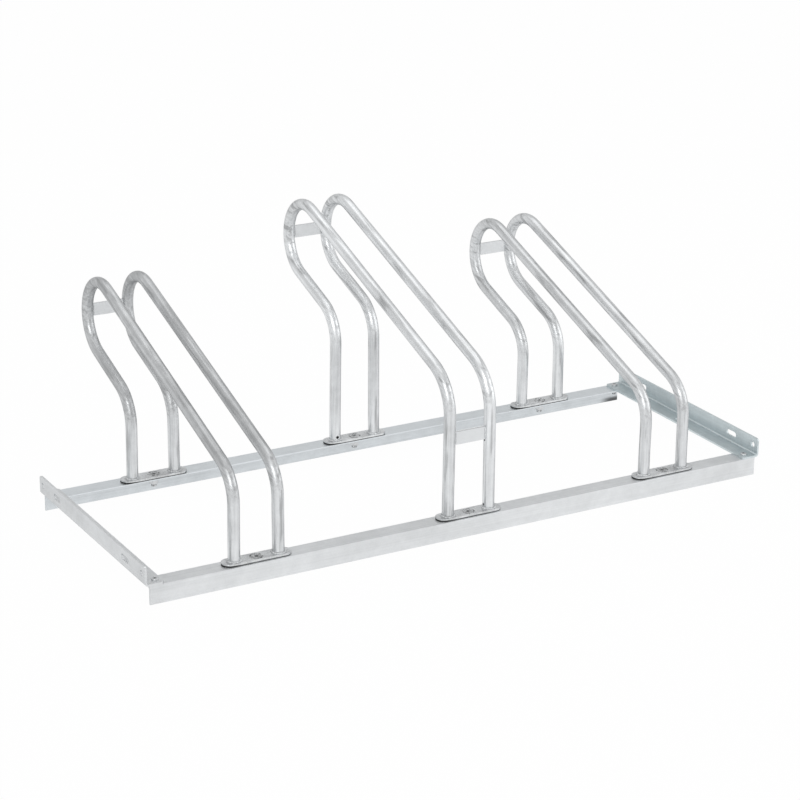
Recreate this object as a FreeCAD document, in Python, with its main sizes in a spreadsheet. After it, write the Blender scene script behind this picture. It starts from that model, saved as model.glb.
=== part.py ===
import FreeCAD, Part
import math
import os
import Sketcher

# Floor bike rack for three bicycles. Two angle rails lie on the floor and two folded end angles
# bolt across them. Three wheel hoops stand on the rails, low, high and low. Each hoop is a pair
# of bent round tubes with flat tie bars between them, welded on a front and a rear foot plate.
#
# Frame: X runs along the rails, Y from the front rail to the back, Z up. The origin is on the
# floor, in the middle of the box round the whole rack. All sizes are in millimetres and degrees.

SIZES = {
    # rails, of angle bar, with the upright flange on the outside of the rack
    "rail_length": 1050,
    "frame_depth": 390,
    "rail_height": 29,
    "rail_flange": 30,
    "rail_thick": 3,
    "rail_root_radius": 3.5,
    "rail_toe_radius": 1.2,
    # end angles, folded from sheet, lying on the rails with the upright flange outside
    "end_height": 30,
    "end_flange": 30,
    "end_thick": 3,
    "end_bend_radius": 2,
    "end_corner_radius": 5,
    "end_overhang": 7,
    # fixing holes of the end angles
    "end_hole_diameter": 9,
    "end_hole_inset": 12,
    "end_slot_length": 25,
    "end_slot_width": 9,
    "end_slot_inset": 69,
    "end_hole_level": 17,
    "flange_hole_diameter": 7,
    "flange_hole_inset": 20,
    # places of the hoops and of the tubes in a hoop
    "hoop_margin": 171,
    "hoop_shift": 3,
    "foot_spacing": 71,
    "foot_inset": 16.5,
    "lean_angle": 0.37,
    # bent tubes
    "tube_diameter": 18,
    "tube_wall": 2,
    "slope_angle": 70.7,
    "low_corner_height": 160,
    "high_corner_height": 239,
    "low_front_bend": 60,
    "high_front_bend": 75,
    "top_bend": 60,
    "rear_bend": 60,
    "rear_reach": 130,
    "vent_diameter": 5,
    "vent_level": 6,
    # foot plates and tie bars
    "plate_length": 110,
    "plate_width": 25,
    "plate_thick": 4,
    "tie_height": 20,
    "tie_thick": 4,
    "lower_tie_level": 154.5,
    # countersunk bolts of the foot plates, and their nuts and washers
    "bolt_diameter": 8,
    "bolt_length": 20,
    "bolt_head_diameter": 16,
    "bolt_socket_flats": 5,
    "bolt_socket_depth": 2.5,
    "nut_flats": 13,
    "nut_height": 6.5,
    "washer_diameter": 16,
    "washer_thick": 1.6,
    # low round-headed bolts of the frame's corners, and their nuts
    "corner_bolt_diameter": 6,
    "corner_bolt_length": 16,
    "corner_head_diameter": 10,
    "corner_head_height": 2.5,
    "corner_head_radius": 1.2,
    "corner_socket_flats": 4,
    "corner_socket_depth": 2,
    "corner_nut_flats": 10,
    "corner_nut_height": 5,
    "corner_inset": 12,
    "corner_end_inset": 20,
    # clearances, each all round
    "hole_clearance": 0.5,
    "thread_clearance": 0.1,
}

doc = FreeCAD.newDocument("floor_bike_rack")
sheet = doc.addObject("Spreadsheet::Sheet", "sizes")
for row, (size_name, size_value) in enumerate(SIZES.items(), start=1):
    sheet.set(f"A{row}", size_name)
    sheet.set(f"B{row}", str(size_value))
    sheet.setAlias(f"B{row}", size_name)
doc.recompute()

# Derived places, written once as formulas of the sheet's cells
DEPTH = (
    "(sizes.frame_depth - sizes.foot_inset + sizes.rear_reach * sin(sizes.slope_angle)"
    " + sizes.top_bend * (1 - cos(sizes.slope_angle)) + sizes.tube_diameter / 2)"
)
FRONT = f"(-{DEPTH} / 2)"
BACK = f"({FRONT} + sizes.frame_depth)"
PLATE_TOP = "(sizes.rail_height + sizes.plate_thick)"
END_FACE = "(sizes.rail_length / 2 + sizes.end_overhang)"
BOLT_HOLE = "(sizes.bolt_diameter / 2 + sizes.hole_clearance)"
CORNER_HOLE = "(sizes.corner_bolt_diameter / 2 + sizes.hole_clearance)"
CORNER_X = f"({END_FACE} - sizes.corner_end_inset)"
FOOT_SPAN = "(sizes.frame_depth - 2 * sizes.foot_inset)"
HOOP_PITCH = "(sizes.rail_length / 2 - sizes.hoop_margin)"
# height of the rearmost point of a tube above its front corner: along the slope line to the rear
# foot, down to the lower run, and up that run to the middle of the top bend
REAR_RISE = (
    f"({FOOT_SPAN} / tan(sizes.slope_angle) - 2 * sizes.top_bend / sin(sizes.slope_angle)"
    " + sizes.rear_reach * cos(sizes.slope_angle) + sizes.top_bend * sin(sizes.slope_angle))"
)

HOOPS = {"left": -1, "centre": 0, "right": 1}
SIDES = {"left": -1, "right": 1}
ENDS = {"front": 1, "rear": -1}
UPWARD = FreeCAD.Vector(0, 0, 1)


def value(formula):
    """The number that a formula of the sheet's cells gives."""
    return float(sheet.evalExpression(formula.replace("sizes.", "")))


def kind_of(hoop):
    """The two outer hoops are low and the one between them is high."""
    return "high" if HOOPS[hoop] == 0 else "low"


def hoop_x(hoop):
    """Formula for the middle of a hoop along the rails."""
    return f"(sizes.hoop_shift + {HOOPS[hoop]} * {HOOP_PITCH})"


def foot_y(end):
    """Formula for the line of the tubes' feet on the front or the rear rail."""
    return f"({FRONT} + sizes.foot_inset)" if end == "front" else f"({BACK} - sizes.foot_inset)"


def new_body(name, x="0", y="0", z="0", turn=None):
    """A body with its own label, placed by formulas and turned about an axis where asked."""
    body = doc.addObject("PartDesign::Body", name)
    body.Label = name
    if turn:
        axis, angle = turn
        body.Placement.Rotation = FreeCAD.Rotation(axis, value(angle))
    for direction, formula in zip("xyz", (x, y, z)):
        body.setExpression(f"Placement.Base.{direction}", formula)
    return body


def new_sketch(body, plane, name, lift="0"):
    """A sketch on one of the body's own origin planes, lifted along the plane's normal."""
    sketch = body.newObject("Sketcher::SketchObject", name)
    support = next(item for item in body.Origin.OriginFeatures if item.Role == plane)
    sketch.AttachmentSupport = [(support, "")]
    sketch.MapMode = "FlatFace"
    sketch.setExpression("AttachmentOffset.Base.z", lift)
    return sketch


def point(x, y):
    return FreeCAD.Vector(x, y, 0)


def dimension(sketch, kind, references, formula):
    """A driving dimension that follows a formula."""
    index = sketch.addConstraint(Sketcher.Constraint(kind, *references, value(formula)))
    sketch.setExpression(f"Constraints[{index}]", formula)


def locate(sketch, geometry, place, x, y):
    """Fixes one point of the sketch by its two distances from the sketch's origin."""
    dimension(sketch, "DistanceX", (-1, 1, geometry, place), x)
    dimension(sketch, "DistanceY", (-1, 1, geometry, place), y)


def draw_outline(sketch, corners):
    """A closed outline of straight lines through corners given as pairs of formulas."""
    points = [point(value(x), value(y)) for x, y in corners]
    first = sketch.GeometryCount
    count = len(points)
    for number in range(count):
        sketch.addGeometry(Part.LineSegment(points[number], points[(number + 1) % count]), False)
    for number in range(count):
        following = first + (number + 1) % count
        sketch.addConstraint(Sketcher.Constraint("Coincident", first + number, 2, following, 1))
        locate(sketch, first + number, 1, *corners[number])


def draw_circle(sketch, x, y, radius):
    """A circle by its centre and radius."""
    index = sketch.addGeometry(
        Part.Circle(point(value(x), value(y)), UPWARD, value(radius)), False
    )
    locate(sketch, index, 3, x, y)
    dimension(sketch, "Radius", (index,), radius)


def draw_slot(sketch, x, y, length, width):
    """An obround along the sketch's X axis: two half circles joined by two straight lines."""
    half_run = f"(({length}) - ({width})) / 2"
    radius = f"({width}) / 2"
    centre_x, centre_y = value(x), value(y)
    run, size = value(half_run), value(radius)
    quarter = math.pi / 2
    right = point(centre_x + run, centre_y)
    left = point(centre_x - run, centre_y)
    rise = point(0, size)
    first = sketch.GeometryCount
    sketch.addGeometry(Part.ArcOfCircle(Part.Circle(right, UPWARD, size), -quarter, quarter), False)
    sketch.addGeometry(Part.ArcOfCircle(Part.Circle(left, UPWARD, size), quarter, 3 * quarter), False)
    sketch.addGeometry(Part.LineSegment(right + rise, left + rise), False)
    sketch.addGeometry(Part.LineSegment(left - rise, right - rise), False)
    right_arc, left_arc, top_line, bottom_line = range(first, first + 4)
    for joint in (
        (right_arc, 2, top_line, 1),
        (top_line, 2, left_arc, 1),
        (left_arc, 2, bottom_line, 1),
        (bottom_line, 2, right_arc, 1),
    ):
        sketch.addConstraint(Sketcher.Constraint("Tangent", *joint))
    sketch.addConstraint(Sketcher.Constraint("Equal", right_arc, left_arc))
    dimension(sketch, "Radius", (right_arc,), radius)
    locate(sketch, right_arc, 3, f"({x}) + {half_run}", y)
    locate(sketch, left_arc, 3, f"({x}) - {half_run}", y)


def hexagon(flats):
    """Corners of a hexagon round the origin, from its size across the flats."""
    half = f"({flats}) / 2"
    reach = f"({flats}) / sqrt(3)"
    return [
        (reach, "0"),
        (f"{reach} / 2", half),
        (f"-{reach} / 2", half),
        (f"-{reach}", "0"),
        (f"-{reach} / 2", f"-{half}"),
        (f"{reach} / 2", f"-{half}"),
    ]


def pad(body, sketch, name, length, both_ways=False, reverse=False):
    """A pad of a sketch by a length that follows a formula."""
    feature = body.newObject("PartDesign::Pad", name)
    feature.Profile = sketch
    feature.setExpression("Length", length)
    feature.Midplane = both_ways
    feature.Reversed = reverse
    return feature


def cut(body, sketch, name, **settings):
    """A pocket of a sketch with the given settings. It has to take metal away."""
    doc.recompute()
    before = body.Shape.Volume
    feature = body.newObject("PartDesign::Pocket", name)
    feature.Profile = sketch
    depth = settings.pop("depth", None)
    if depth:
        feature.setExpression("Length", depth)
    for setting, choice in settings.items():
        setattr(feature, setting, choice)
    doc.recompute()
    if body.Shape.Volume >= before:
        raise RuntimeError(f"{body.Label}: {name} cuts nothing")


def pocket_through(body, sketch, name):
    """A pocket both ways through the whole body."""
    cut(body, sketch, name, Type="ThroughAll", Midplane=True)


def pocket_down(body, sketch, name, depth, reverse=False):
    """A blind pocket against the sketch's normal, or along it where reversed."""
    cut(body, sketch, name, depth=depth, Reversed=reverse)


def near(first, second):
    return abs(first - second) < 1e-4


def straight_edges(shape, along, places):
    """Names of the edges that run along one axis through any of the places."""
    names = []
    for number, edge in enumerate(shape.Edges, start=1):
        if len(edge.Vertexes) != 2:
            continue
        start, end = (vertex.Point for vertex in edge.Vertexes)
        moved = {axis for axis in "xyz" if not near(getattr(start, axis), getattr(end, axis))}
        here = (all(near(getattr(start, axis), at) for axis, at in place.items()) for place in places)
        if moved == {along} and any(here):
            names.append(f"Edge{number}")
    return names


def flat_face(shape, level):
    """Name of the level face at this height."""
    for number, face in enumerate(shape.Faces, start=1):
        if near(face.BoundBox.ZMin, level) and near(face.BoundBox.ZMax, level):
            return f"Face{number}"


def round_edges(body, base, name, radius, along, places):
    """A fillet on the edges of the base that run along one axis through the places."""
    doc.recompute()
    feature = body.newObject("PartDesign::Fillet", name)
    feature.Base = (base, straight_edges(base.Shape, along, places))
    feature.setExpression("Radius", radius)
    doc.recompute()
    return feature


def make_rail(end):
    """A rail of angle bar, with its upright flange outside. The rear one is turned half round."""
    name = f"{end}_rail"
    turn = None if end == "front" else (UPWARD, "180")
    body = new_body(name, y=FRONT if end == "front" else BACK, turn=turn)
    under = "sizes.rail_height - sizes.rail_thick"
    section = new_sketch(body, "YZ_Plane", f"{name}_section")
    draw_outline(
        section,
        [
            ("0", "0"),
            ("0", "sizes.rail_height"),
            ("sizes.rail_flange", "sizes.rail_height"),
            ("sizes.rail_flange", under),
            ("sizes.rail_thick", under),
            ("sizes.rail_thick", "0"),
        ],
    )
    bar = pad(body, section, f"{name}_bar", "sizes.rail_length", both_ways=True)
    inside = value("sizes.rail_thick")
    root = {"y": inside, "z": value(under)}
    toes = [{"y": inside, "z": 0}, {"y": value("sizes.rail_flange"), "z": value(under)}]
    rooted = round_edges(body, bar, f"{name}_root", "sizes.rail_root_radius", "x", [root])
    round_edges(body, rooted, f"{name}_toes", "sizes.rail_toe_radius", "x", toes)

    # bolt holes through the top flange; half a turn swaps the signs of the rail's own X
    holes = new_sketch(body, "XY_Plane", f"{name}_hole_places")
    for hoop in HOOPS:
        draw_circle(holes, f"{ENDS[end]} * {hoop_x(hoop)}", "sizes.foot_inset", BOLT_HOLE)
    for way in SIDES.values():
        draw_circle(holes, f"{way} * {CORNER_X}", "sizes.corner_inset", CORNER_HOLE)
    pocket_through(body, holes, f"{name}_holes")


def make_end_angle(side):
    """A folded end angle that lies across both rails. The right one is turned half round."""
    name = f"{side}_end_angle"
    turned = side == "right"
    body = new_body(
        name,
        x=f"{SIDES[side]} * {END_FACE}",
        y=BACK if turned else FRONT,
        z="sizes.rail_height",
        turn=(UPWARD, "180") if turned else None,
    )
    section = new_sketch(body, "XZ_Plane", f"{name}_section")
    draw_outline(
        section,
        [
            ("0", "0"),
            ("sizes.end_flange", "0"),
            ("sizes.end_flange", "sizes.end_thick"),
            ("sizes.end_thick", "sizes.end_thick"),
            ("sizes.end_thick", "sizes.end_height"),
            ("0", "sizes.end_height"),
        ],
    )
    plain = pad(body, section, f"{name}_sheet", "sizes.frame_depth", reverse=True)

    # the fold has one radius inside, and that radius and the sheet's thickness outside
    thick = value("sizes.end_thick")
    inside = {"x": thick, "z": thick}
    outside = {"x": 0, "z": 0}
    outer_radius = "sizes.end_bend_radius + sizes.end_thick"
    inner = round_edges(body, plain, f"{name}_inner_bend", "sizes.end_bend_radius", "y", [inside])
    outer = round_edges(body, inner, f"{name}_outer_bend", outer_radius, "y", [outside])
    top = value("sizes.end_height")
    depth = value("sizes.frame_depth")
    corners = [{"y": y, "z": top} for y in (0, depth)]
    rounded = round_edges(body, outer, f"{name}_corners", "sizes.end_corner_radius", "x", corners)
    toes = [{"x": value("sizes.end_flange"), "y": y} for y in (0, depth)]
    round_edges(body, rounded, f"{name}_flange_corners", "sizes.end_corner_radius", "z", toes)

    # a round hole near each end of the upright flange, and an oblong one further in
    upright = new_sketch(body, "YZ_Plane", f"{name}_upright_places")
    for inset, shape in (("sizes.end_hole_inset", "round"), ("sizes.end_slot_inset", "oblong")):
        for along in (inset, f"sizes.frame_depth - {inset}"):
            if shape == "round":
                draw_circle(upright, along, "sizes.end_hole_level", "sizes.end_hole_diameter / 2")
            else:
                draw_slot(
                    upright, along, "sizes.end_hole_level",
                    "sizes.end_slot_length", "sizes.end_slot_width",
                )
    pocket_through(body, upright, f"{name}_upright_holes")

    # two bolt holes and one free hole between them, down through the flange
    flat = new_sketch(body, "XY_Plane", f"{name}_flange_places")
    for along in ("sizes.corner_inset", "sizes.frame_depth - sizes.corner_inset"):
        draw_circle(flat, "sizes.corner_end_inset", along, CORNER_HOLE)
    draw_circle(
        flat, "sizes.flange_hole_inset", "sizes.frame_depth / 2", "sizes.flange_hole_diameter / 2"
    )
    pocket_through(body, flat, f"{name}_flange_holes")


def draw_tube_path(sketch, corner, front_bend):
    """The tube's centre line in its own YZ plane, from the front foot to the rear foot.

    It goes straight up, bends back onto the long slope, turns half round at the top, comes down
    forwards along a lower run parallel to the slope, and bends down again to the rear foot.
    """
    slope = math.radians(value("sizes.slope_angle"))
    half_turn = math.tan(slope / 2)
    span = value(FOOT_SPAN)
    front_height = value(f"{corner} - {PLATE_TOP}")
    front_radius, top_radius, rear_radius = (
        value(radius) for radius in (front_bend, "sizes.top_bend", "sizes.rear_bend")
    )
    rear_height = front_height + span / math.tan(slope) - 2 * top_radius / math.sin(slope)
    along = point(math.sin(slope), math.cos(slope))
    across = point(-math.cos(slope), math.sin(slope))

    front_leg_top = point(0, front_height - front_radius * half_turn)
    slope_start = point(0, front_height) + along * front_radius * half_turn
    rear_corner = point(span, rear_height)
    top_end = rear_corner + along * value("sizes.rear_reach")
    top_centre = top_end + across * top_radius
    top_start = top_centre + across * top_radius
    lower_run_end = rear_corner + along * rear_radius * half_turn
    rear_leg_top = point(span, rear_height - rear_radius * half_turn)

    def arc(centre, radius, start, end):
        circle = Part.Circle(centre, UPWARD, radius)
        return sketch.addGeometry(Part.ArcOfCircle(circle, start, end), False)

    def line(start, end):
        return sketch.addGeometry(Part.LineSegment(start, end), False)

    front_leg = line(point(0, 0), front_leg_top)
    front_arc = arc(front_leg_top + point(front_radius, 0), front_radius, math.pi - slope, math.pi)
    long_slope = line(slope_start, top_start)
    top_arc = arc(top_centre, top_radius, -slope, math.pi - slope)
    lower_run = line(top_end, lower_run_end)
    rear_arc = arc(rear_leg_top + point(rear_radius, 0), rear_radius, math.pi - slope, math.pi)
    rear_leg = line(rear_leg_top, point(span, 0))

    for joint in (
        (front_leg, 2, front_arc, 2),
        (front_arc, 1, long_slope, 1),
        (long_slope, 2, top_arc, 2),
        (top_arc, 1, lower_run, 1),
        (lower_run, 2, rear_arc, 1),
        (rear_arc, 2, rear_leg, 1),
    ):
        sketch.addConstraint(Sketcher.Constraint("Tangent", *joint))
    sketch.addConstraint(Sketcher.Constraint("Coincident", front_leg, 1, -1, 1))
    sketch.addConstraint(Sketcher.Constraint("Vertical", front_leg))
    sketch.addConstraint(Sketcher.Constraint("Vertical", rear_leg))
    sketch.addConstraint(Sketcher.Constraint("Parallel", long_slope, lower_run))
    bend_share = "tan(sizes.slope_angle / 2)"
    leg_length = f"{corner} - {PLATE_TOP} - {front_bend} * {bend_share}"
    run_length = f"sizes.rear_reach - sizes.rear_bend * {bend_share}"
    dimension(sketch, "Distance", (front_leg,), leg_length)
    dimension(sketch, "Distance", (lower_run,), run_length)
    dimension(sketch, "Radius", (front_arc,), front_bend)
    dimension(sketch, "Radius", (top_arc,), "sizes.top_bend")
    dimension(sketch, "Radius", (rear_arc,), "sizes.rear_bend")
    slant = sketch.addConstraint(Sketcher.Constraint("Angle", long_slope, math.pi / 2 - slope))
    sketch.setExpression(f"Constraints[{slant}]", "(90 - sizes.slope_angle) * 1 deg")
    locate(sketch, rear_leg, 2, FOOT_SPAN, "0")


def make_tube(hoop, side):
    """One bent tube of a hoop. It leans in towards its partner, turned about its feet's line."""
    name = f"{hoop}_hoop_{side}_tube"
    way = SIDES[side]
    body = new_body(
        name,
        x=f"{hoop_x(hoop)} + {way} * sizes.foot_spacing / 2",
        y=foot_y("front"),
        z=PLATE_TOP,
        turn=(FreeCAD.Vector(0, -way, 0), "sizes.lean_angle"),
    )
    path = new_sketch(body, "YZ_Plane", f"{name}_path")
    draw_tube_path(path, f"sizes.{kind_of(hoop)}_corner_height", f"sizes.{kind_of(hoop)}_front_bend")
    ring = new_sketch(body, "XY_Plane", f"{name}_ring")
    draw_circle(ring, "0", "0", "sizes.tube_diameter / 2")
    draw_circle(ring, "0", "0", "sizes.tube_diameter / 2 - sizes.tube_wall")
    doc.recompute()
    bent = body.newObject("PartDesign::AdditivePipe", f"{name}_bent")
    bent.Profile = ring
    bent.Spine = (path, [f"Edge{number}" for number in range(1, path.GeometryCount + 1)])
    doc.recompute()
    return body


def drill_vent(body):
    """The galvanizer's vent hole, low on the front side of a tube's rear leg."""
    vent = new_sketch(body, "XZ_Plane", f"{body.Label}_vent_place", lift=f"-{FOOT_SPAN}")
    draw_circle(vent, "0", "sizes.vent_level", "sizes.vent_diameter / 2")
    pocket_down(body, vent, f"{body.Label}_vent", "sizes.tube_diameter / 2", reverse=True)


def make_foot_plate(hoop, end):
    """An obround plate with one countersunk hole in its middle."""
    name = f"{hoop}_hoop_{end}_plate"
    body = new_body(name, x=hoop_x(hoop), y=foot_y(end), z="sizes.rail_height")
    outline = new_sketch(body, "XY_Plane", f"{name}_outline")
    draw_slot(outline, "0", "0", "sizes.plate_length", "sizes.plate_width")
    pad(body, outline, f"{name}_flat", "sizes.plate_thick")
    seat = new_sketch(body, "XZ_Plane", f"{name}_seat")
    mouth = "(sizes.bolt_head_diameter / 2 + sizes.thread_clearance)"
    draw_outline(
        seat,
        [
            ("0", "0"),
            (BOLT_HOLE, "0"),
            (BOLT_HOLE, f"sizes.plate_thick - ({mouth} - {BOLT_HOLE})"),
            (mouth, "sizes.plate_thick"),
            ("0", "sizes.plate_thick"),
        ],
    )
    doc.recompute()
    before = body.Shape.Volume
    sink = body.newObject("PartDesign::Groove", f"{name}_sink")
    sink.Profile = seat
    sink.ReferenceAxis = (seat, ["V_Axis"])
    doc.recompute()
    if body.Shape.Volume >= before:
        raise RuntimeError(f"{name}: the bolt's seat cuts nothing")


def make_tie_bar(name, hoop, y, level):
    """A flat bar on edge between the two tubes of a hoop, butted against both."""
    body = new_body(name, x=hoop_x(hoop), y=y, z=level)
    section = new_sketch(body, "YZ_Plane", f"{name}_section")
    half_thick = "sizes.tie_thick / 2"
    half_height = "sizes.tie_height / 2"
    draw_outline(
        section,
        [
            (f"-{half_thick}", f"-{half_height}"),
            (half_thick, f"-{half_height}"),
            (half_thick, half_height),
            (f"-{half_thick}", half_height),
        ],
    )
    drawn_in = f"2 * tan(sizes.lean_angle) * ({level} + {half_height} - {PLATE_TOP})"
    gap = f"sizes.foot_spacing - sizes.tube_diameter / cos(sizes.lean_angle) - {drawn_in}"
    pad(body, section, f"{name}_bar", gap, both_ways=True)


def make_foot_bolt(hoop, end):
    """A countersunk bolt with a hexagon socket, its head flush with the foot plate."""
    name = f"{hoop}_hoop_{end}_bolt"
    body = new_body(name, x=hoop_x(hoop), y=foot_y(end), z=PLATE_TOP)
    section = new_sketch(body, "XZ_Plane", f"{name}_section")
    shank, head = "sizes.bolt_diameter / 2", "sizes.bolt_head_diameter / 2"
    draw_outline(
        section,
        [
            ("0", "0"),
            ("0", "-sizes.bolt_length"),
            (shank, "-sizes.bolt_length"),
            (shank, f"{shank} - {head}"),
            (head, "0"),
        ],
    )
    turned = body.newObject("PartDesign::Revolution", f"{name}_turned")
    turned.Profile = section
    turned.ReferenceAxis = (section, ["V_Axis"])
    socket = new_sketch(body, "XY_Plane", f"{name}_socket_place")
    draw_outline(socket, hexagon("sizes.bolt_socket_flats"))
    pocket_down(body, socket, f"{name}_socket", "sizes.bolt_socket_depth")


def make_ring(name, x, y, under, outline, bore, height):
    """A washer or a nut that hangs its own height below a face: an outline with a round bore."""
    body = new_body(name, x=x, y=y, z=f"{under} - {height}")
    face = new_sketch(body, "XY_Plane", f"{name}_face")
    outline(face)
    draw_circle(face, "0", "0", bore)
    pad(body, face, f"{name}_solid", height)


def make_foot_nut(hoop, end):
    """The washer and the nut of a foot plate's bolt, below the rail's top flange."""
    x, y = hoop_x(hoop), foot_y(end)
    bore = "sizes.bolt_diameter / 2 + sizes.thread_clearance"
    under = "sizes.rail_height - sizes.rail_thick"
    make_ring(
        f"{hoop}_hoop_{end}_washer", x, y, under,
        lambda face: draw_circle(face, "0", "0", "sizes.washer_diameter / 2"),
        bore, "sizes.washer_thick",
    )
    make_ring(
        f"{hoop}_hoop_{end}_nut", x, y, f"{under} - sizes.washer_thick",
        lambda face: draw_outline(face, hexagon("sizes.nut_flats")),
        bore, "sizes.nut_height",
    )


def make_corner_bolt(side, end):
    """A low round-headed bolt down through the end angle and the rail, and its nut."""
    name = f"{side}_{end}_corner"
    x = f"{SIDES[side]} * {CORNER_X}"
    y = f"{FRONT} + sizes.corner_inset" if end == "front" else f"{BACK} - sizes.corner_inset"
    body = new_body(f"{name}_bolt", x=x, y=y, z="sizes.rail_height + sizes.end_thick")
    head = new_sketch(body, "XY_Plane", f"{name}_head_face")
    draw_circle(head, "0", "0", "sizes.corner_head_diameter / 2")
    low_head = pad(body, head, f"{name}_head", "sizes.corner_head_height")
    doc.recompute()
    brow = body.newObject("PartDesign::Fillet", f"{name}_brow")
    brow.Base = (low_head, [flat_face(low_head.Shape, value("sizes.corner_head_height"))])
    brow.setExpression("Radius", "sizes.corner_head_radius")
    shank = new_sketch(body, "XY_Plane", f"{name}_shank_face")
    draw_circle(shank, "0", "0", "sizes.corner_bolt_diameter / 2")
    pad(body, shank, f"{name}_shank", "sizes.corner_bolt_length", reverse=True)
    socket = new_sketch(body, "XY_Plane", f"{name}_socket_place", lift="sizes.corner_head_height")
    draw_outline(socket, hexagon("sizes.corner_socket_flats"))
    pocket_down(body, socket, f"{name}_socket", "sizes.corner_socket_depth")
    make_ring(
        f"{name}_nut", x, y, "sizes.rail_height - sizes.rail_thick",
        lambda face: draw_outline(face, hexagon("sizes.corner_nut_flats")),
        "sizes.corner_bolt_diameter / 2 + sizes.thread_clearance", "sizes.corner_nut_height",
    )


def make_hoop(hoop):
    """A pair of tubes on two foot plates, with the bars between them and the bolts below."""
    for side in SIDES:
        make_tube(hoop, side)
    for end in ENDS:
        make_foot_plate(hoop, end)
        make_foot_bolt(hoop, end)
        make_foot_nut(hoop, end)
    top_level = f"(sizes.{kind_of(hoop)}_corner_height + {REAR_RISE})"
    make_tie_bar(f"{hoop}_hoop_top_tie", hoop, f"{FRONT} + {DEPTH} - sizes.tube_diameter / 2", top_level)


def build():
    """Every sub-part of the rack."""
    for end in ENDS:
        make_rail(end)
    for side in SIDES:
        make_end_angle(side)
        for end in ENDS:
            make_corner_bolt(side, end)
    for hoop in HOOPS:
        make_hoop(hoop)
    make_tie_bar("centre_hoop_lower_tie", "centre", foot_y("front"), "sizes.lower_tie_level")
    drill_vent(doc.getObject("centre_hoop_left_tube"))
    doc.recompute()


def check(bodies):
    """Stops the build where any object failed or any sub-part isn't one sound solid."""
    for item in doc.Objects:
        if "Invalid" in item.State or "Error" in item.State:
            raise RuntimeError(f"{item.Name}: {item.State}")
        if item.TypeId == "Sketcher::SketchObject" and not item.FullyConstrained:
            raise RuntimeError(f"{item.Name}: not fully constrained")
    for body in bodies:
        if body.Shape.isNull() or not body.Shape.isValid() or len(body.Shape.Solids) != 1:
            raise RuntimeError(f"{body.Label}: not one valid solid")


def export(bodies):
    """One STEP file for each sub-part."""
    os.makedirs("parts", exist_ok=True)
    for body in bodies:
        body.Shape.exportStep(os.path.join("parts", f"{body.Label}.step"))


build()
sub_parts = doc.findObjects("PartDesign::Body")
check(sub_parts)
export(sub_parts)
print(f"{len(sub_parts)} sub-parts, box {Part.makeCompound([body.Shape for body in sub_parts]).BoundBox}")
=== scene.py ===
# %% [markdown]
# # A floor bike rack in galvanised steel
# Two rails lie on the ground and two end angles join their ends. Three hoops of bent
# tube stand across the rails and hold the wheels. The solids come from the frame,
# already at their real size and place, so this file only dresses them: it adds the
# weld beads, the bolt threads and the zinc, then sets up a plain studio.

# %% Load the frame
import math

import bpy
import numpy as np
from mathutils import Matrix, Vector


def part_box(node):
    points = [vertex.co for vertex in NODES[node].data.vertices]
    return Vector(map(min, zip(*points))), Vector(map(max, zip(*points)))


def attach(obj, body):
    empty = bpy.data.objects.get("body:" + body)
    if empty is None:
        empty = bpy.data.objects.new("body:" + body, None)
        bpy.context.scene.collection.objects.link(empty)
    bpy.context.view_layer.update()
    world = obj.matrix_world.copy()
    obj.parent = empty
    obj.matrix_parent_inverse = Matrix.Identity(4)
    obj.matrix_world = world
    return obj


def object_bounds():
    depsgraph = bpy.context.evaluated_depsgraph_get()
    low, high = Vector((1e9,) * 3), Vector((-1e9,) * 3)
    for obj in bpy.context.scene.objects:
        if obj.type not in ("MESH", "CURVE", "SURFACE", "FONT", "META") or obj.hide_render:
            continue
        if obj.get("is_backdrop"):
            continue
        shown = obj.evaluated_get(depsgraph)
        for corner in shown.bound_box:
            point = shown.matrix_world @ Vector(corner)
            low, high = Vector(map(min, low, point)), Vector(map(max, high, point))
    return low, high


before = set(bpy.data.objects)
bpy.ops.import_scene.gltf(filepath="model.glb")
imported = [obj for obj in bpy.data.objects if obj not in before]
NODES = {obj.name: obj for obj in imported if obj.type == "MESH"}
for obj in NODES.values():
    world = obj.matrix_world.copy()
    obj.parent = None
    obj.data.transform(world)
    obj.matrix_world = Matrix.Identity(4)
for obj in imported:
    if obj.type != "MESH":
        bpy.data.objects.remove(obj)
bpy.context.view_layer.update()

HOOPS = ("left", "centre", "right")
print("solids in the frame:", len(NODES))


# %% [markdown]
# ## The camera
# The picture was taken from the left, about 20 degrees above the ground, with a long
# lens. The lens, the place and the small roll were found by matching the edges of the
# rails and the outlines of the tubes, so the render can be laid over the picture.

# %% Place the camera
AZIMUTH, ELEVATION, ROLL = math.radians(-29.734), math.radians(20.223), math.radians(0.673)
TARGET = Vector((-0.0638, -0.1636, 0.1917))
DISTANCE = 3.7515
LENS = 112.90


def camera_axes(azimuth, elevation, roll):
    """Right, up and back of a camera that looks at the target and is rolled about its line of sight."""
    back = Vector((
        math.sin(azimuth) * math.cos(elevation),
        -math.cos(azimuth) * math.cos(elevation),
        math.sin(elevation),
    ))
    right = Vector((math.cos(azimuth), math.sin(azimuth), 0.0))
    up = back.cross(right)
    turned_right = right * math.cos(roll) + up * math.sin(roll)
    turned_up = up * math.cos(roll) - right * math.sin(roll)
    return turned_right, turned_up, back


lens = bpy.data.cameras.new("picture_camera")
lens.lens = LENS
lens.sensor_width = 36.0
lens.clip_start, lens.clip_end = 0.05, 60.0
camera = bpy.data.objects.new("picture_camera", lens)
bpy.context.scene.collection.objects.link(camera)
axes = camera_axes(AZIMUTH, ELEVATION, ROLL)
turn = Matrix(axes).transposed().to_4x4()
camera.matrix_world = Matrix.Translation(TARGET + axes[2] * DISTANCE) @ turn
bpy.context.scene.camera = camera
print("camera at, metres:", [round(v, 3) for v in camera.matrix_world.translation])


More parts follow.
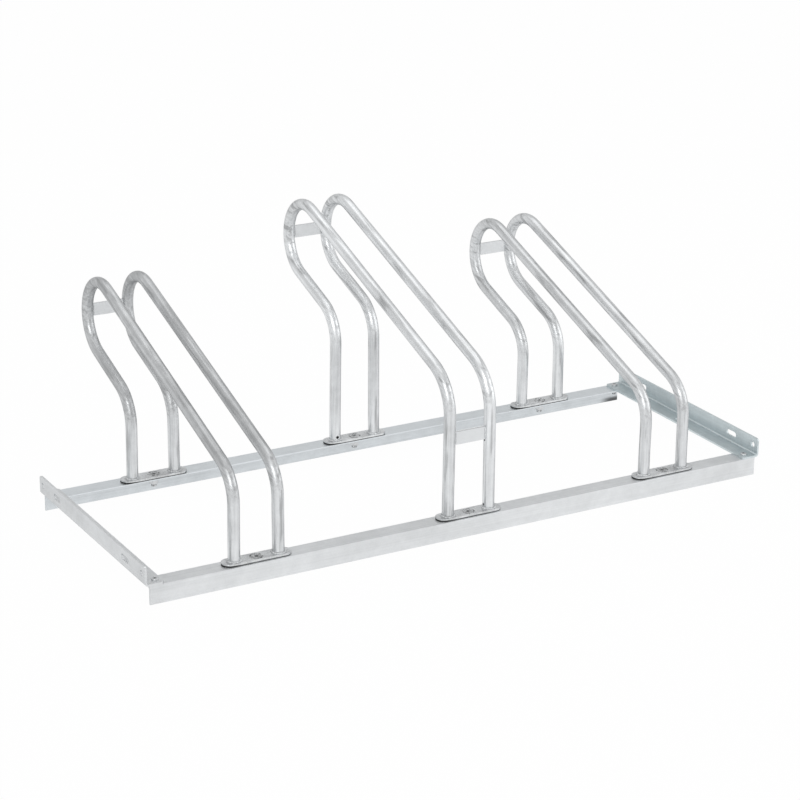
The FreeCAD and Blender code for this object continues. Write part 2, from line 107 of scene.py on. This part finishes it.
# %% [markdown]
# ## Sums in a material
# A material is a net of nodes, and a sum such as `1 - mask` takes a node with its
# wires for every sign. The small class below holds one output of that net and lets
# the sum be written as it is in Python. Numbers go through Math nodes. Colours and
# vectors have their own nodes, because a Math node would turn a colour grey.

# %% A class for the sums
class Wire:
    """One output socket of a node tree. Sums of wires and numbers add Math nodes."""

    def __init__(self, tree, socket=None):
        self.tree = tree
        self.socket = socket

    def node(self, kind, settings=None, sockets=None, out=0):
        """Adds a node: its settings first, then the values or wires of its sockets."""
        made = self.tree.nodes.new(kind)
        for name, value in (settings or {}).items():
            setattr(made, name, value)
        for name, value in (sockets or {}).items():
            if isinstance(value, Wire):
                self.tree.links.new(value.socket, made.inputs[name])
            else:
                made.inputs[name].default_value = value
        return Wire(self.tree, made.outputs[out] if made.outputs else None)

    def math(self, operation, *values, clamp=False):
        """A Math node on these values, held between 0 and 1 if clamp is set."""
        settings = {"operation": operation, "use_clamp": clamp}
        return self.node("ShaderNodeMath", settings, dict(enumerate(values)))

    def __add__(self, other):
        return self.math("ADD", self, other)

    def __sub__(self, other):
        return self.math("SUBTRACT", self, other)

    def __mul__(self, other):
        return self.math("MULTIPLY", self, other)

    def __rsub__(self, other):
        return self.math("SUBTRACT", other, self)

    __radd__ = __add__
    __rmul__ = __mul__

    def clamped(self):
        """The value held between 0 and 1."""
        return self.math("ADD", self, 0.0, clamp=True)

    def root(self):
        """The square root of the value."""
        return self.math("SQRT", self)

    def size(self):
        """The value without its sign."""
        return self.math("ABSOLUTE", self)

    def larger(self, other):
        """The larger of two values."""
        return self.math("MAXIMUM", self, other)

    def ramp(self, low, high):
        """0 below low, 1 above high, and a smooth rise between them."""
        sockets = {"Value": self, "From Min": low, "From Max": high}
        return self.node("ShaderNodeMapRange", {"interpolation_type": "SMOOTHSTEP"}, sockets)

    def turned(self, angle):
        """The vector turned about X by an angle in radians."""
        sockets = {"Vector": self, "Rotation": (angle, 0.0, 0.0)}
        return self.node("ShaderNodeMapping", {"vector_type": "POINT"}, sockets)

    def stretched(self, x, y, z):
        """The vector scaled along each axis."""
        sockets = {"Vector": self, "Scale": (x, y, z)}
        return self.node("ShaderNodeMapping", {"vector_type": "POINT"}, sockets)

    def noise(self, scale, detail=3.0, roughness=0.55):
        """A cloudy pattern from 0 to 1 round this vector, with scale lumps to the metre."""
        sockets = {"Vector": self, "Scale": scale, "Detail": detail, "Roughness": roughness}
        return self.node("ShaderNodeTexNoise", {}, sockets)

    def part(self, axis):
        """One number of this vector: X, Y or Z."""
        return self.node("ShaderNodeSeparateXYZ", {}, {0: self}, out="XYZ".index(axis))

    def gap_to(self, point):
        """The distance from this place to a point."""
        return self.node("ShaderNodeVectorMath", {"operation": "DISTANCE"}, {0: self, 1: point}, out=1)

    def blend(self, first, second):
        """The colour between first and second that this mask picks."""
        settings = {"data_type": "RGBA", "blend_type": "MIX"}
        return self.node("ShaderNodeMix", settings, {0: self, 6: first, 7: second}, out=2)


def new_tree(owner):
    """Clears an owner's nodes and returns a bare wire to build on."""
    owner.use_nodes = True
    owner.node_tree.nodes.clear()
    return Wire(owner.node_tree)


print("sums in a material: ready")


# %% [markdown]
# ## Hot-dip zinc
# The steel was dipped in molten zinc. The coat is a satin metal with soft clouds of
# lighter and darker grey, fine grains where the zinc crystals meet, and faint
# streaks along the bar where it drained. A photograph of zinc would repeat and show
# its edges, so the clouds are noise that is worked out from the place on the piece.
# The same numbers drive the colour, the gloss and a very small bump. Each finish may
# add marks of its own, such as streaks that follow the tube. Some of the colour is
# painted light and shade: lighter level tops on the rails, lighter legs and a shade
# for each hoop's slopes, and a dark line along each plate's lower edge.

# %% The zinc finish
WHITE = (1.0, 1.0, 1.0)
PALE = (0.965, 0.985, 1.0)
COOL = (0.925, 0.970, 1.0)
STEEL = (0.890, 0.975, 1.0)
RAIL_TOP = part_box("rear_rail")[1][2]
CLOUDS, PATCHES, GRAINS = 9.0, 60.0, 430.0
GLOSS = 0.12
# the dark grey of real stains, and of the painted shade under each plate
STAIN_AND_SHADE = 0.03
RIM = 0.62
METAL = 0.9


def grey(level, tint=WHITE):
    """A grey of this linear level, times a tint, as a colour with alpha."""
    return tuple(level * share for share in tint) + (1.0,)


def zinc(name, dark, light, rough, grain=0.3, patch=0.7, tint=PALE, streaks=None, painted_top_light=0.0, stain_and_shade=None):
    """Zinc on steel: clouds, patches, grains and streaks between a dark and a light grey.

    mask = 0.5 + 0.9 clouds + patch * patches + grain * grains + streaks, all of them
    noise on Object coordinates, less its middle value. CLOUDS, PATCHES and GRAINS are
    lumps to the metre. Painted light adds a little on a rail's level top.
    colour = the two greys blended by the mask, then darkened for stains and painted shade.
    roughness = rough + GLOSS (0.5 - mask + patches), so a light place is glossier.
    The bump follows the patches and grains. RIM dims the metal at grazing angles.
    """
    material = bpy.data.materials.new(name)
    start = new_tree(material)
    place = start.node("ShaderNodeTexCoord", out=3)
    clouds = place.noise(CLOUDS, 2.0) - 0.5
    patches = place.noise(PATCHES, 3.0, 0.6) - 0.5
    grains = place.noise(GRAINS, 2.0, 0.6) - 0.5
    mask = 0.5 + clouds * 0.9 + patches * patch + grains * grain
    # on the tubes the streaks also carry painted light: lighter legs and a shade for each hoop's slopes
    if streaks:
        mask = mask + streaks(place)
    # painted light: a rail's level top is made a little lighter
    if painted_top_light:
        mask = mask + place.part("Z").ramp(RAIL_TOP - 0.002, RAIL_TOP - 0.0003) * painted_top_light
    mask = mask.clamped()
    colour = mask.blend(grey(dark, tint), grey(light, tint))
    # darkened for stains, and for painted shade along the plates' lower edges
    if stain_and_shade:
        colour = stain_and_shade(place).blend(colour, grey(STAIN_AND_SHADE))
    gloss = (rough + GLOSS / 2) - mask * GLOSS + patches * GLOSS
    height = grains * 0.4 + patches
    bump = start.node("ShaderNodeBump", {}, {"Strength": 0.10, "Distance": 0.0005, "Height": height})
    shader = start.node(
        "ShaderNodeBsdfPrincipled",
        {},
        {
            "Base Color": colour,
            "Metallic": METAL,
            "Roughness": gloss,
            "Specular Tint": grey(RIM),
            "Normal": bump,
        },
    )
    start.node("ShaderNodeOutputMaterial", {}, {"Surface": shader})
    return material


print("tints of the zinc:", PALE, COOL, STEEL)


# %% [markdown]
# ## Streaks along the bars
# The tubes are drawn and then dipped, so their marks run along the bar. The legs
# stand upright and the long runs slope, so two patterns are stretched, one upright
# and one turned to the slope, and the height of the bend picks between them. A path
# along the tube's own surface would follow the bends exactly, but the solids carry
# no such map, so the streaks cross over from one pattern to the other just under a
# bend's corner. A few darker runs show where the zinc drained off. Angle bars have
# fine streaks along their one straight length.

# %% Streaks
SLOPE = math.radians(70.7)
# painted light: the upright legs are made lighter than the slopes
LEG_PAINTED_LIGHT = 0.12
FINE, LONG = 330.0, 7.0
WIDE, SHORT = 148.5, 12.6


def lines(place):
    """Fine streaks and a few wider dark runs, both stretched along Z.

    value = 1.1 (streak - 0.5) - 0.55 run. FINE and LONG are streaks to the metre,
    across and along. WIDE and SHORT are the same for the runs.
    """
    streak = place.stretched(FINE, FINE, LONG).noise(1.0, 3.0, 0.65)
    run = place.stretched(WIDE, WIDE, SHORT).noise(1.0, 2.0, 0.5)
    return (streak - 0.5) * 1.1 - run.ramp(0.54, 0.70) * 0.55


def along_tube(bend, shade):
    """Streaks along the legs below the height of the bend, and along the slope above it.

    The legs are lighter by LEG_PAINTED_LIGHT, which is painted light. The slope is lighter or darker
    by the hoop's shade: painted light and shade, together with the hoop's own grey.
    """
    def pattern(place):
        upright = lines(place)
        sloping = lines(place.turned(SLOPE))
        above = place.part("Z").ramp(bend - 0.05, bend - 0.01)
        # painted light: lighter legs, and each hoop's slopes lighter or darker
        return upright + LEG_PAINTED_LIGHT + above * (sloping - upright + shade - LEG_PAINTED_LIGHT)
    return pattern


def along(x, y, z):
    """Streaks on a straight bar: 0.7 (noise - 0.5), with these numbers to the metre on each axis."""
    def pattern(place):
        return (place.stretched(x, y, z).noise(1.0, 3.0, 0.65) - 0.5) * 0.7
    return pattern


print("streaks to the metre, across and along a tube:", FINE, LONG)


# %% [markdown]
# ## Marks, stains and painted shade
# A dark line along each plate's lower edge is painted shade, for the gap where the
# plate lies on the rail, and a dark ring goes round each bolt. The rear rail has a
# smear at one end, and two welds have a small pit. A decal or a painted picture could
# hold such marks. Here each is a distance from a place on the piece, because a
# distance stays sharp at any size.

# %% Marks and painted shade
RING = 0.0088
PIT = 0.002


def plate_shade_line_and_ring(low, high):
    """A dark line of painted shade along a plate's lower edge, and a dark ring round the bolt.

    The line is about a millimetre high, and two at the left end. The ring lies where
    the distance from the middle is near RING, just outside the bolt's head, and noise
    breaks it up.
    """
    middle = (np.add(low, high) / 2).tolist()

    def mask(place):
        # painted shade: a dark line along the plate's lower edge, where it lies on the rail, twice as
        # high at the left end
        end = 1 - place.part("X").ramp(low[0] + 0.004, low[0] + 0.03)
        above = place.part("Z") - low[2]
        line = 1 - (above - end * 0.0012).ramp(0.0005, 0.0013)
        aside, ahead = place.part("X") - middle[0], place.part("Y") - middle[1]
        away = (aside * aside + ahead * ahead).root()
        ring = 1 - (away - RING).size().ramp(0.0005, 0.0019)
        broken = ring * place.noise(260.0, 1.0).ramp(0.40, 0.60)
        return line.larger(broken * 0.9)
    return mask


def rail_end_stain(place):
    """A dark smear low on the inner face, and on that face alone, near the rear rail's right end."""
    right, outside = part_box("rear_rail")[1][:2]
    near_end = place.part("X").ramp(right - 0.040, right - 0.013)
    low = 1 - place.part("Z").ramp(0.004, 0.011)
    inner = 1 - place.part("Y").ramp(outside - 0.0028, outside - 0.0018)
    return near_end * low * inner * 0.85


def pits(*places):
    """Small dark pits in the welds: 1 where a place is nearer than PIT, with a soft edge."""
    def mask(place):
        found = 0.0
        for middle in places:
            found = 1 - place.gap_to(middle).ramp(PIT * 0.7, PIT * 1.3) + found
        return found.clamped()
    return mask


print("radius of a bolt's ring and of a weld's pit, metres:", RING, PIT)


# %% [markdown]
# ## Painting the solids
# Each solid has one slot, and its name says what it is, so its finish comes from the
# name. Tubes and plates each get a finish of their own, because their marks depend
# on where they stand. The pieces differ a little in grey. As in the picture, the left
# hoop's slopes are darker than the others' and the right end angle is cooler than the
# left one. A shade for each hoop is added to the mask of its slopes: painted light and
# shade for the light on the upward slopes, together with the hoop's own grey. BENDS are
# the heights where a front leg and its slope would meet in a sharp corner.

# %% Paint the frame's solids
BENDS = {"left": 0.160, "centre": 0.239, "right": 0.160}
# painted light and shade on each hoop's slopes, together with the hoop's own grey
SLOPE_TONES_AND_PAINTED_SHADE = {"left": -0.28, "centre": 0.22, "right": 0.03}
ALONG_RAIL = along(2.5, 300.0, 300.0)
ALONG_END = along(300.0, 2.5, 300.0)
# painted light on the rails' level tops, more on the rear rail's
RAIL = zinc("rail_zinc", 0.65, 0.86, 0.42, streaks=ALONG_RAIL, painted_top_light=0.1)
REAR_RAIL = zinc(
    "rear_rail_zinc", 0.60, 0.84, 0.42, tint=COOL, streaks=ALONG_RAIL, painted_top_light=0.5, stain_and_shade=rail_end_stain
)
LEFT_END = zinc("left_end_zinc", 0.64, 0.88, 0.42, grain=0.4, streaks=ALONG_END)
RIGHT_END = zinc("right_end_zinc", 0.60, 0.84, 0.42, grain=0.4, tint=STEEL, streaks=ALONG_END)
TIE = zinc("tie_zinc", 0.66, 0.84, 0.42)
BOLT = zinc("bolt_zinc", 0.12, 0.90, 0.34, grain=2.2)
NUT = zinc("nut_zinc", 0.56, 0.78, 0.40, grain=0.6)


def weld_pits():
    """Pits on the centre hoop's right front leg: under the lower tie and over the foot plate."""
    tie_low, tie_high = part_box("centre_hoop_lower_tie")
    plate_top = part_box("centre_hoop_front_plate")[1][2]
    middle = (tie_low[1] + tie_high[1]) / 2
    under_tie = (tie_high[0], middle, tie_low[2] - 0.0015)
    over_plate = (tie_high[0] + 0.0006, middle, plate_top + 0.006)
    return pits(under_tie, over_plate)


def finish_of(name):
    """The finish of one solid, from its name."""
    hoop = name.split("_")[0]
    if name.endswith("tube"):
        marks_and_shade = weld_pits() if name == "centre_hoop_right_tube" else None
        streaks = along_tube(BENDS[hoop], SLOPE_TONES_AND_PAINTED_SHADE[hoop])
        return zinc(f"{name}_zinc", 0.44, 0.90, 0.38, grain=0.2, patch=0.45, streaks=streaks, stain_and_shade=marks_and_shade)
    if name.endswith("plate"):
        low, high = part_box(name)
        # painted shade along the plate's lower edge, and a dark ring round the bolt
        marks_and_shade = plate_shade_line_and_ring(low, high)
        return zinc(f"{name}_zinc", 0.50, 0.90, 0.40, grain=1.3, patch=1.5, stain_and_shade=marks_and_shade)
    for ending, finish in (
        ("front_rail", RAIL),
        ("rear_rail", REAR_RAIL),
        ("left_end_angle", LEFT_END),
        ("right_end_angle", RIGHT_END),
        ("tie", TIE),
        ("corner_bolt", NUT),
        ("bolt", BOLT),
    ):
        if name.endswith(ending):
            return finish
    return NUT


for name, node in NODES.items():
    finish = finish_of(name)
    for spot in node.material_slots:
        spot.material = finish
print("painted:", len(NODES), "solids")


# %% [markdown]
# ## Weld beads
# The tubes are welded all round onto the foot plates, and the tie bars are welded to
# the tubes along their short edges. A bead is a small cord of metal with a ripple
# for every moment that the welder paused. It could be sculpted, but a cord carried
# along a line by a formula is quicker and can be put in every place at once.

# %% A surface from a grid of points
def surface(name, grid, closed):
    """A mesh over a grid of points: rows along a line, columns round it.

    A closed line joins its last row to its first. An open one ends in a pole at each
    end, in the middle of the end row. Faces run row first, so that they face outwards.
    """
    rows, columns = grid.shape[:2]
    index = np.arange(rows * columns).reshape(rows, columns)
    across = np.roll(index, -1, axis=1)
    last = rows if closed else rows - 1
    ahead, ahead_across = np.roll(index, -1, axis=0), np.roll(across, -1, axis=0)
    quads = np.stack([index, ahead, ahead_across, across], axis=-1)[:last].reshape(-1, 4)
    points, faces = grid.reshape(-1, 3), quads.tolist()
    if not closed:
        points = np.vstack([points, grid[0].mean(axis=0), grid[-1].mean(axis=0)])
        low, high = np.full(columns, rows * columns), np.full(columns, rows * columns + 1)
        faces += np.stack([low, index[0], across[0]], axis=-1).tolist()
        faces += np.stack([high, across[-1], index[-1]], axis=-1).tolist()
    mesh = bpy.data.meshes.new(name)
    mesh.from_pydata(points.tolist(), [], faces)
    mesh.polygons.foreach_set("use_smooth", np.ones(len(mesh.polygons), dtype=bool))
    mesh.update()
    piece = bpy.data.objects.new(name, mesh)
    bpy.context.scene.collection.objects.link(piece)
    return piece


def cord(line, up, radius, closed, around=12):
    """Points of a round cord along a line, as a grid.

    point = line(u) + radius(u) (cos v side + sin v rise), where side is square to the
    line and to up, and rise is square to both.
    """
    if closed:
        heading = np.roll(line, -1, axis=0) - np.roll(line, 1, axis=0)
    else:
        heading = np.gradient(line, axis=0)
    heading /= np.linalg.norm(heading, axis=1, keepdims=True)
    side = np.cross(heading, up)
    side /= np.linalg.norm(side, axis=1, keepdims=True)
    rise = np.cross(side, heading)
    turn = np.linspace(0, 2 * np.pi, around, endpoint=False)[None, :, None]
    ring = np.cos(turn) * side[:, None] + np.sin(turn) * rise[:, None]
    return line[:, None] + radius[:, None, None] * ring


print("surface and cord: ready")


# %% [markdown]
# ## Beads at the feet
# One bead runs round each tube where it stands on its plate. Its line is a circle
# just beside the tube and just above the plate, found from the tube's own lowest
# vertices. Its ripples come from a cosine that goes round a whole number of times,
# so that the ends meet.

# %% Beads round the tubes' feet
WELD = zinc("weld_zinc", 0.40, 0.80, 0.34, grain=1.0)
BEAD = 0.0018
RIPPLE = 0.0024
BESIDE, ABOVE = 0.0006, 0.0004


def dress(piece, finish):
    """Gives a piece its finish and the record's slot, and lets it ride on the rack."""
    piece.data.materials.append(finish)
    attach(piece, "root")
    return piece


def foot_of(tube, plate):
    """Middle and radius of a tube's end on a plate, from the tube's own lowest vertices."""
    low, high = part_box(plate)
    points = np.array([vertex.co for vertex in NODES[tube].data.vertices])
    near = (points[:, 2] < high[2] + 0.002) & (points[:, 1] > low[1]) & (points[:, 1] < high[1])
    least, most = points[near].min(axis=0), points[near].max(axis=0)
    return (least + most) / 2, (most - least)[0] / 2


def foot_bead(name, centre, radius, level):
    """A closed bead round a tube, carried along a circle.

    thickness = BEAD (1 + 0.14 cos(n u) + 0.08 sin(3 u + shift)), with a whole number n
    of ripples, and a shift from the tube's place, so that no two hoops are alike.
    """
    turn = np.linspace(0, 2 * np.pi, 216, endpoint=False)
    line = np.stack([
        centre[0] + radius * np.cos(turn),
        centre[1] + radius * np.sin(turn),
        np.full_like(turn, level),
    ], axis=-1)
    count = round(2 * np.pi * radius / RIPPLE)
    thick = BEAD * (1 + 0.14 * np.cos(count * turn) + 0.08 * np.sin(3 * turn + centre[0] * 90))
    return dress(surface(name, cord(line, (0, 0, 1), thick, True), True), WELD)


for hoop in HOOPS:
    for side in ("left", "right"):
        for end in ("front", "rear"):
            plate = f"{hoop}_hoop_{end}_plate"
            centre, radius = foot_of(f"{hoop}_hoop_{side}_tube", plate)
            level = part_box(plate)[1][2] + ABOVE
            foot_bead(f"{hoop}_hoop_{side}_{end}_foot_bead", centre, radius + BESIDE, level)
print("foot beads:", 2 * 2 * len(HOOPS))


# %% [markdown]
# ## Beads at the tie bars
# A tie bar butts against both tubes and is welded up its corners, front and rear.
# Those beads are short and straight, and they thin out at both ends.

# %% Beads at the ends of the tie bars
def edge_bead(name, x, y, low, high):
    """An open upright bead, with t from -1 at its foot to 1 at its top.

    thickness = 0.85 BEAD (1.02 - t^6) (1 + 0.15 cos(n t)), which thins out at both ends
    """
    t = np.linspace(-1, 1, 61)
    level = (low + high) / 2 + (high - low) / 2 * t
    line = np.stack([np.full_like(t, x), np.full_like(t, y), level], axis=-1)
    ripples = np.cos(np.pi * t * (high - low) / RIPPLE)
    thick = BEAD * 0.85 * (1.02 - t**6) * (1 + 0.15 * ripples)
    return dress(surface(name, cord(line, (0, 1, 0), thick, False), False), WELD)


TIES = [name for name in NODES if name.endswith("tie")]
for tie in TIES:
    low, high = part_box(tie)
    for side, x in (("left", low[0]), ("right", high[0])):
        for face, y in (("front", low[1]), ("rear", high[1])):
            edge_bead(f"{tie}_{side}_{face}_bead", x, y, low[2] + 0.001, high[2] - 0.001)
print("tie beads:", 4 * len(TIES))


# %% [markdown]
# ## Threads
# Below each nut a few turns of the bolt's thread show. The solids have plain shanks,
# so a threaded sleeve goes over each free end. Its radius is a wave that climbs one
# pitch for every turn, which is what a thread is.

# %% Threaded bolt ends
CORNER_PITCH, FOOT_PITCH = 0.001, 0.00125
DEPTH = 0.3
ROOT = 0.00003


def thread(name, bolt, nut, pitch, depth):
    """A threaded sleeve from inside the nut to the bolt's tip, drawn in at the tip.

    radius = shank + ROOT + depth (1 + cos(2 pi z / pitch - v)) / 2, where ROOT keeps
    the thread's root just off the plain shank, and DEPTH is a share of the pitch
    """
    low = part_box(bolt)[0]
    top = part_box(nut)[0][2]
    points = np.array([vertex.co for vertex in NODES[bolt].data.vertices])
    tip = points[points[:, 2] < low[2] + 0.0005]
    centre = (tip.min(axis=0) + tip.max(axis=0)) / 2
    shank = (tip.max(axis=0) - tip.min(axis=0))[0] / 2
    z = np.linspace(top + 0.001, low[2] - 0.0001, 90)[:, None]
    turn = np.linspace(0, 2 * np.pi, 40, endpoint=False)[None]
    radius = shank + ROOT + depth * (1 + np.cos(2 * np.pi * z / pitch - turn)) / 2
    radius = np.minimum(radius, shank - 0.0006 + (z - z[-1]) * 1.2)
    x, y = centre[0] + radius * np.cos(turn), centre[1] - radius * np.sin(turn)
    grid = np.stack([x, y, z + 0 * turn], axis=-1)
    return dress(surface(name, grid, False), BOLT)


BOLTS = [name for name in NODES if name.endswith("bolt")]
for bolt in BOLTS:
    pitch = CORNER_PITCH if "corner" in bolt else FOOT_PITCH
    thread(f"{bolt}_thread", bolt, bolt[:-4] + "nut", pitch, pitch * DEPTH)
print("threaded ends:", len(BOLTS))


# %% [markdown]
# ## The studio
# The rack stands on a plain pale floor before a white background. The floor and the
# air are white for the camera and in reflections. That puts no more light on the
# rack, because what lights it is a dimmer air, AMBIENT, and the lamps. A curved
# paper sweep would do as well, but a flat floor has no curve to show in the zinc.

# %% Floor and air
def seen_rays(start):
    """1 for rays that see the background: camera, glossy and transmission rays."""
    kinds = ("Is Camera Ray", "Is Glossy Ray", "Is Transmission Ray")
    camera_ray, glossy, through = [start.node("ShaderNodeLightPath", out=kind) for kind in kinds]
    return (camera_ray + glossy + through).clamped()


AMBIENT = 0.65
air = bpy.data.worlds.new("studio_air")
bpy.context.scene.world = air
start = new_tree(air)
seen = seen_rays(start)
level = seen * (1 - AMBIENT) + AMBIENT
glow = start.node("ShaderNodeBackground", {}, {"Color": grey(1.0), "Strength": level})
start.node("ShaderNodeOutputWorld", {}, {"Surface": glow})

SPAN = 9.0
FLOOR_GREY, FLOOR_WHITE = 0.8, 0.98
corners = np.array([[-1, -1, 0], [1, -1, 0], [1, 1, 0], [-1, 1, 0]]) * SPAN
sheet = bpy.data.meshes.new("studio_floor")
sheet.from_pydata(corners.tolist(), [], [(0, 1, 2, 3)])
floor = bpy.data.objects.new("studio_floor", sheet)
bpy.context.scene.collection.objects.link(floor)
paper = bpy.data.materials.new("floor_paper")
start = new_tree(paper)
seen = seen_rays(start)
matt = start.node("ShaderNodeBsdfDiffuse", {}, {"Color": grey(FLOOR_GREY)})
white = start.node("ShaderNodeEmission", {}, {"Color": grey(1.0), "Strength": 1.0})
both = start.node("ShaderNodeMixShader", {}, {0: seen * FLOOR_WHITE, 1: matt, 2: white})
start.node("ShaderNodeOutputMaterial", {}, {"Surface": both})
sheet.materials.append(paper)
floor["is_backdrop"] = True
print("floor, metres across:", 2 * SPAN)


# %% [markdown]
# ## A grey ceiling
# In a room of pure white, metal looks like paper. In the picture the level faces are
# greyer than the upright ones, as they are under a ceiling that is dimmer than the
# white floor. Here it is a sheet high over the rack that only reflections see.

# %% Hang the ceiling
CEILING, CEILING_GLOW = 4.2, 0.74
ceiling_mesh = bpy.data.meshes.new("studio_ceiling")
raised = corners * 1.5 + np.array([0, 0, CEILING])
ceiling_mesh.from_pydata(raised.tolist(), [], [(3, 2, 1, 0)])
ceiling = bpy.data.objects.new("studio_ceiling", ceiling_mesh)
bpy.context.scene.collection.objects.link(ceiling)
cloth = bpy.data.materials.new("ceiling_cloth")
start = new_tree(cloth)
dim = start.node("ShaderNodeEmission", {}, {"Color": grey(1.0), "Strength": CEILING_GLOW})
start.node("ShaderNodeOutputMaterial", {}, {"Surface": dim})
ceiling_mesh.materials.append(cloth)
ceiling.visible_camera = False
ceiling.visible_diffuse = False
ceiling.visible_shadow = False
ceiling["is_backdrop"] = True
print("ceiling at, metres:", CEILING)


# %% [markdown]
# ## Three soft lamps
# A key lamp hangs over the front left, a wide one fills from the right, and one over
# the rear lifts the tops of the hoops. They are large and weak, because a small lamp
# would draw a hard line along every tube.

# %% Lamps
def lamp(name, place, aim, size, power):
    """A square soft lamp at a place, turned to a point, with its power in watts."""
    light = bpy.data.lights.new(name, "AREA")
    light.shape = "SQUARE"
    light.size = size
    light.energy = power
    made = bpy.data.objects.new(name, light)
    bpy.context.scene.collection.objects.link(made)
    made.location = place
    made.rotation_mode = "QUATERNION"
    made.rotation_quaternion = (Vector(place) - Vector(aim)).to_track_quat("Z", "Y")
    return made


CENTRE = (0.0, 0.0, 0.15)
LAMPS = [
    lamp("key_lamp", (-2.2, -2.6, 2.6), CENTRE, 1.8, 34.0),
    lamp("fill_lamp", (3.0, -1.8, 1.6), CENTRE, 2.4, 18.0),
    lamp("top_lamp", (0.2, 0.6, 3.2), CENTRE, 2.6, 14.0),
]
bpy.context.scene.view_settings.view_transform = "Standard"
print("lamps:", len(LAMPS))


# %% [markdown]
# ## Measure and finish
# The dressed rack has to stay inside the box of its solids. The box of the dressed
# rack is measured and printed.

# %% Measure and finish
low, high = [list(corner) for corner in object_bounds()]
print("visual box, metres:", np.round(np.subtract(high, low), 4))
